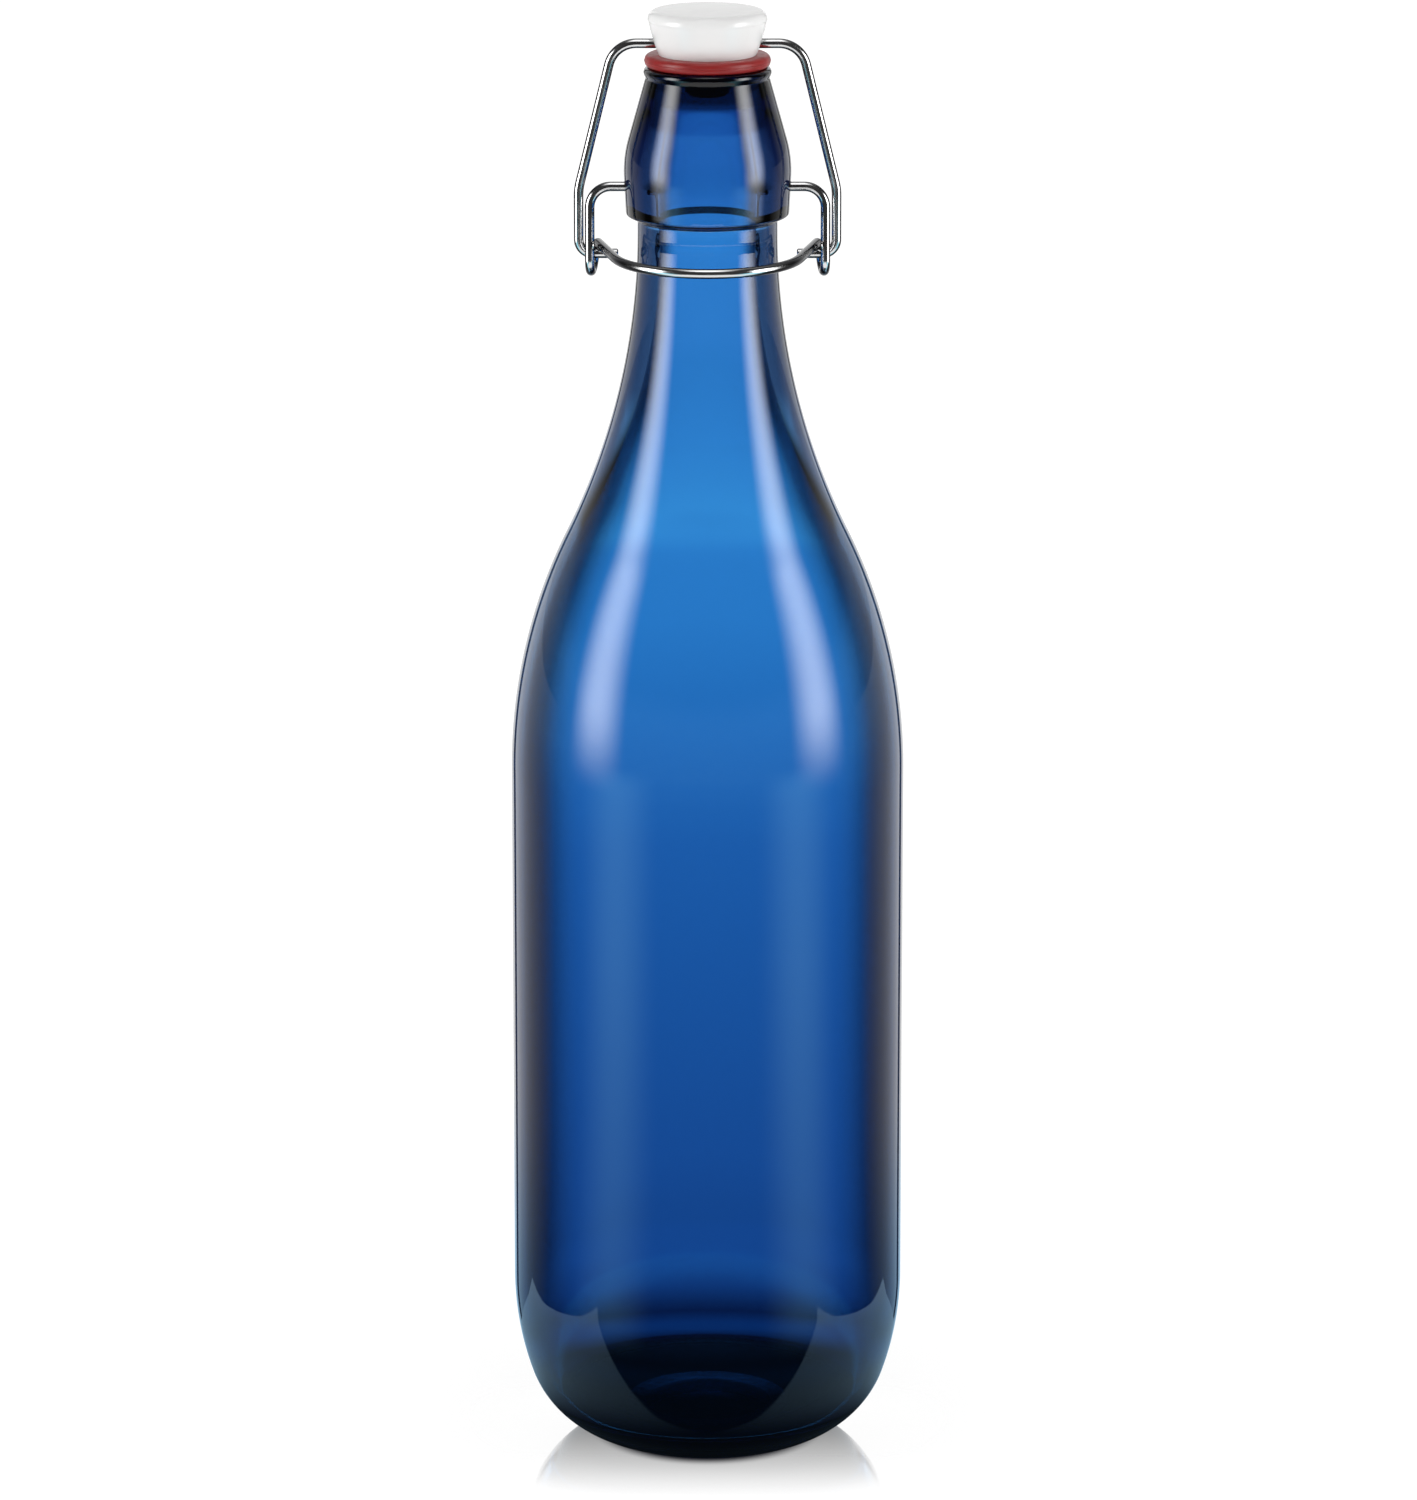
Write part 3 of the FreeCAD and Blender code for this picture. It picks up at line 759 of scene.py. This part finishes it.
def painted_glass_shade(tree, place, foot):
    """Painted shade on the glass: where its sides turn away, round the plug, at its foot and in its floor.
    """
    facing = turned_away(tree)
    height = split(tree, place)["Z"]
    radius = axis_distance(tree, place)
    heel = fade(tree, height, HEEL_FADE, HEEL_LEVEL)
    # Painted shade where the sides turn from the eye, weaker low on the heel
    side_shade = combine(tree, "MULTIPLY", map_range(tree, facing, SIDE_SHADE_TURN), heel)
    skin = neck_skin(tree, height, radius)
    # Painted shade on the neck and finish where they turn from the eye
    neck_shade = combine(tree, "MULTIPLY", map_range(tree, facing, NECK_SHADE_TURN), skin)
    # Painted shade round the plug, from its end up to the lip
    mouth = fade(tree, height, MOUTH_FADE)
    # Painted shade on the inner floor
    near_axis = math_node(tree, "LESS_THAN", radius, INNER_FLOOR_RADIUS * MM)
    near_floor = math_node(tree, "LESS_THAN", height, INNER_FLOOR_TOP * MM)
    inner_floor = combine(tree, "MULTIPLY", near_axis, near_floor)
    return combine(tree, "MAXIMUM", side_shade, neck_shade, mouth, foot, inner_floor)


def glass_material():
    """Cobalt glass: colour in the depth of the wall, painted shade where the sides turn away, round the plug
    and in the floor, and a rough foot with painted shade.
    """
    material, tree = new_material("blue_glass")
    place = object_place(tree)
    # The foot: painted shade in the glass's colour, and a rougher surface
    foot = fade(tree, split(tree, place)["Z"], FOOT_FADE, 1.0, 0.0)
    smear = uneven(tree, place, scale=60, low=0.0, high=0.004, span=(0.35, 0.75))
    surface = add(tree, "ShaderNodeBsdfPrincipled", {
        "Base Color": mix_colour(tree, painted_glass_shade(tree, place, foot), GLASS_TINT, PAINTED_SHADE_TINT),
        "Roughness": combine(tree, "MAXIMUM", smear, math_node(tree, "MULTIPLY", foot, FOOT_ROUGHNESS)),
        "IOR": 1.5,
        "Transmission Weight": 1.0,
        "Normal": bump(tree, place, scale=26, strength=0.01, depth=0.4),
    })
    depth = add(tree, "ShaderNodeVolumeAbsorption", {"Color": WALL_COLOUR, "Density": 100.0})
    add(tree, "ShaderNodeOutputMaterial", {"Surface": surface.outputs[0], "Volume": depth.outputs[0]})
    return material


def steel_material():
    """Bright plated wire with fine drawing marks and a little uneven polish, with painted shade where it
    turns away.
    """
    material, tree = new_material("steel_wire")
    place = object_place(tree)
    shade = mix_colour(tree, noise(tree, place, 90), (0.72, 0.72, 0.73, 1), (0.84, 0.84, 0.84, 1))
    # Painted shade where the wire turns from the eye
    rim = map_range(tree, turned_away(tree), STEEL_TURN)
    put_on_surface(tree, add(tree, "ShaderNodeBsdfPrincipled", {
        "Base Color": mix_colour(tree, rim, shade, (0.04, 0.04, 0.045, 1)),
        "Metallic": 1.0,
        "Roughness": uneven(tree, place, scale=240, low=0.10, high=0.22),
        "Normal": bump(tree, place, scale=1800, strength=0.06, depth=0.1),
    }))
    return material


def stopper_material():
    """Glossy white moulding with a faint uneven skin."""
    material, tree = new_material("white_stopper")
    place = object_place(tree)
    shade = mix_colour(tree, noise(tree, place, 120), (0.85, 0.85, 0.845, 1), (0.88, 0.88, 0.875, 1))
    put_on_surface(tree, add(tree, "ShaderNodeBsdfPrincipled", {
        "Base Color": shade,
        "Roughness": uneven(tree, place, scale=200, low=0.14, high=0.24),
        "Coat Weight": 0.3,
        "Coat Roughness": 0.08,
        "Normal": bump(tree, place, scale=420, strength=0.04, depth=0.3),
    }))
    return material


def rubber_material():
    """Smooth red rubber with a fine matt bloom."""
    material, tree = new_material("red_rubber")
    place = object_place(tree)
    shade = mix_colour(tree, noise(tree, place, 300), (0.24, 0.009, 0.009, 1), (0.30, 0.013, 0.012, 1))
    put_on_surface(tree, add(tree, "ShaderNodeBsdfPrincipled", {
        "Base Color": shade,
        "Roughness": uneven(tree, place, scale=500, low=0.32, high=0.48),
        "Normal": bump(tree, place, scale=2200, strength=0.12, depth=0.2),
    }))
    return material


def floor_material():
    """White table, with painted light and shade of its own for reflections and for what is seen through the
    glass.
    """
    material, tree = new_material("white_table")
    position = add(tree, "ShaderNodeNewGeometry").outputs["Position"]
    reach = length(tree, position)
    put_on_surface(tree, by_sight(
        tree,
        plain=add(tree, "ShaderNodeBsdfDiffuse", {"Color": (0.8, 0.8, 0.8, 1)}),
        reflected=floor_reflected(tree, position, reach),
        through=floor_through_glass(tree, reach),
        seen=floor_to_the_eye(tree, position, reach),
    ))
    return material


def painted_sheet_glow(tree, position, reach):
    """A painted pale glow under the bottle for reflections, brighter to its sides, with a slanted front edge
    and a dark middle.
    """
    parts = split(tree, position)
    aside = math_node(tree, "ABSOLUTE", parts["X"])
    slanted = math_node(tree, "ADD", parts["Y"], math_node(tree, "MULTIPLY", aside, SHEET_SLANT))
    return combine(
        tree,
        "MULTIPLY",
        fade(tree, aside, SHEET_RISE, *SHEET_LEVELS, "LINEAR"),
        fade(tree, aside, SHEET_SIDE, 1.0, 0.0),
        fade(tree, slanted, SHEET_FRONT),
        fade(tree, parts["Y"], SHEET_BACK, 1.0, 0.0),
        fade(tree, reach, SHEET_MIDDLE),
    )


def floor_reflected(tree, position, reach):
    """The table in reflections, as painted glow: the sheet and the backdrop, with blue flags further out."""
    backdrop = backdrop_level(tree, position, TABLE_BACKDROP_TURN, BODY_RADIUS * MM)
    level = combine(tree, "MAXIMUM", painted_sheet_glow(tree, position, reach), backdrop)
    # The painted glow is blue near the bottle and white further out
    shade = mix_colour(tree, fade(tree, reach, SHADE_FADE), NEAR_SHADE, WHITE)
    flags = combine(
        tree,
        "MULTIPLY",
        flag_level(tree, position),
        fade(tree, reach, FLAG_RISE, *FLAG_LEVELS, "LINEAR"),
        fade(tree, reach, FLAG_START),
        fade(tree, reach, FLAG_END, 1.0, 0.0),
    )
    return add_shaders(tree, emission(tree, shade, level), emission(tree, FLAG_COLOUR, flags))


def floor_through_glass(tree, reach):
    """The table through the bottle, as painted shadow and light: black under it, a pale and a dark ring
    round it and white far behind.
    """
    return emission(tree, ramp(tree, reach, [
        (56, (0.0, 0.0, 0.01)),
        (68, (0.025, 0.08, 0.19)),
        (81, (0.0, 0.014, 0.055)),
        (100, (0.08, 0.115, 0.24)),
        (125, (0.14, 0.185, 0.345)),
        (500, (0.24, 0.34, 0.52)),
        (800, (0.58, 0.68, 0.80)),
        (1000, (0.66, 0.75, 0.86)),
        (1300, (1.0, 1.0, 1.0)),
    ]))


def floor_to_the_eye(tree, position, reach):
    """The table itself: white, with a soft shadow partly painted, a painted dark contact shadow and a mirror
    image that fades out.
    """
    # Painted contact shadow under the bottle's foot
    shown = mix_colour(tree, fade(tree, reach, CONTACT_FADE), PAINTED_CONTACT_SHADOW, WHITE)
    # Painted soft shadow: the white glows less near the bottle, and the lit part adds the lamps' own shadow
    white = emission(tree, shown, fade(tree, reach, SHADOW_FADE, SHADOW_LEVEL))
    lit = add(tree, "ShaderNodeBsdfDiffuse", {"Color": (0.25, 0.25, 0.25, 1)})
    shine = add(tree, "ShaderNodeBsdfGlossy", {"Color": WHITE, "Roughness": 0.03})
    back = split(tree, position)["Y"]
    mirror = combine(
        tree,
        "MULTIPLY",
        fade(tree, back, MIRROR_RISE, 0.0, MIRROR_LEVEL, "LINEAR"),
        fade(tree, back, MIRROR_FALL, 1.0, 0.0),
        fade(tree, reach, MIRROR_SIDE, 1.0, 0.0),
    )
    return mix_shaders(tree, mirror, add_shaders(tree, white, lit), shine)


def card_material():
    """White card, bright on its upper side alone."""
    material, tree = new_material("white_card")
    under = add(tree, "ShaderNodeNewGeometry").outputs["Backfacing"]
    clear = add(tree, "ShaderNodeBsdfTransparent")
    put_on_surface(tree, mix_shaders(tree, under, emission(tree, WHITE), clear))
    return material


def panel_material(strength):
    """Soft lamp face, bright in the middle and fading out to a clear rim."""
    material, tree = new_material("lamp_face")
    parts = split(tree, add(tree, "ShaderNodeTexCoord").outputs["Generated"])
    middle = 0.5
    across = map_range(tree, distance(tree, parts["X"], middle), LAMP_FADE_ACROSS, 1.0, 0.0)
    along = map_range(tree, distance(tree, parts["Y"], middle), LAMP_FADE_ALONG, 1.0, 0.0)
    glow = emission(tree, WHITE, combine(tree, "MULTIPLY", across, along, strength))
    put_on_surface(tree, add_shaders(tree, glow, add(tree, "ShaderNodeBsdfTransparent")))
    return material


# Pieces
def show(piece, node, body, material):
    piece.data.materials.clear()
    piece.data.materials.append(material)
    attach(piece, body)
    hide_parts(node)


def make_glass():
    glass = lathe("blown_glass", glass_outside() + glass_finish() + glass_inside(), GLASS_SEGMENTS)
    half_length = 4
    middle = BULGE_RADIUS - PIVOT_DEPTH - PIVOT_END_GAP + half_length
    bore = WIRE_RADIUS + PIVOT_CLEARANCE
    cutters = [rod("dimple", side * middle, half_length, PIVOT_Z, bore) for side in (1, -1)]
    cut(glass, cutters, GLASS_SHARP_ANGLE)
    show(glass, "glass_bottle", "bottle", glass_material())


def make_wires():
    steel = steel_material()
    show(wire("lever", *lever_path()), "lever_wire", "lever", steel)
    show(wire("bail", *bail_path()), "bail_wire", "bail", steel)


def make_stopper():
    stopper = lathe("moulded_stopper", stopper_section(), CAP_SEGMENTS, base=HEAD_Z)
    cut(stopper, [rod("bail_bore", 0, HEAD_RADIUS, BORE_Z, WIRE_RADIUS + BAIL_BORE_CLEARANCE)])
    show(stopper, "stopper", "stopper", stopper_material())


def make_gasket():
    gasket = lathe("rubber_gasket", gasket_section(), CAP_SEGMENTS, base=SEAL_Z)
    show(gasket, "gasket", "stopper", rubber_material())


# Studio
def rectangle(name, size, material):
    x, y = (side / 2 for side in size)
    made = new_object(name, [(-x, -y, 0), (x, -y, 0), (x, y, 0), (-x, y, 0)], [[0, 1, 2, 3]])
    made.data.materials.append(material)
    return made


def make_floor():
    floor = rectangle("table", TABLE_SIZE, floor_material())


def make_panel(name, place, aim, size, material):
    """A lamp face or card turned to a point, unseen by the camera and through the glass."""
    panel = rectangle(name, size, material)
    panel.location = Vector(place) * MM
    panel.rotation_euler = (Vector(place) - Vector(aim)).to_track_quat("Z", "Y").to_euler()
    panel.visible_camera = False
    panel.visible_transmission = False
    panel.visible_shadow = False


def make_lights():
    turn = math.radians(SIDE_LAMP_TURN)
    aside = SIDE_LAMP_REACH * math.sin(turn)
    ahead = SIDE_LAMP_REACH * math.cos(turn)
    aim = (0, 0, SIDE_LAMP_HEIGHT)
    for side in (1, -1):
        place = (side * aside, -ahead, SIDE_LAMP_HEIGHT)
        make_panel("side_lamp", place, aim, SIDE_LAMP_SIZE, panel_material(SIDE_LAMP_LEVEL))
    make_panel("top_lamp", TOP_LAMP_PLACE, TOP_LAMP_AIM, TOP_LAMP_SIZE, panel_material(TOP_LAMP_LEVEL))
    make_panel("front_card", CARD_PLACE, CARD_AIM, CARD_SIZE, card_material())


def make_world():
    """White to the eye, a wall under a dark ceiling through the glass, and the backdrop in reflections."""
    world = bpy.data.worlds.new("studio")
    scene.world = world
    world.use_nodes = True
    tree = world.node_tree
    tree.nodes.clear()
    heading = add(tree, "ShaderNodeTexCoord").outputs["Generated"]
    wall = map_range(tree, split(tree, heading)["Z"], WALL_TOP, 1.0, CEILING_LEVEL)
    shader = by_sight(
        tree,
        plain=background(tree, WHITE, AMBIENT_LEVEL),
        reflected=background(tree, backdrop_level(tree, heading, ROOM_BACKDROP_TURN)),
        through=background(tree, wall),
        seen=background(tree, WHITE),
    )
    add(tree, "ShaderNodeOutputWorld", {"Surface": shader.outputs[0]})


def make_camera():
    lens = bpy.data.cameras.new("camera")
    lens.sensor_fit = "VERTICAL"
    lens.sensor_height = SENSOR_HEIGHT
    lens.lens = LENS
    camera = bpy.data.objects.new("camera", lens)
    camera.location = Vector(CAMERA_PLACE) * MM
    camera.rotation_euler = (math.radians(CAMERA_TILT), 0, 0)
    scene.collection.objects.link(camera)
    scene.camera = camera


make_glass()
make_wires()
make_stopper()
make_gasket()
make_floor()
make_lights()
make_world()
make_camera()
scene.view_settings.view_transform = "Standard"
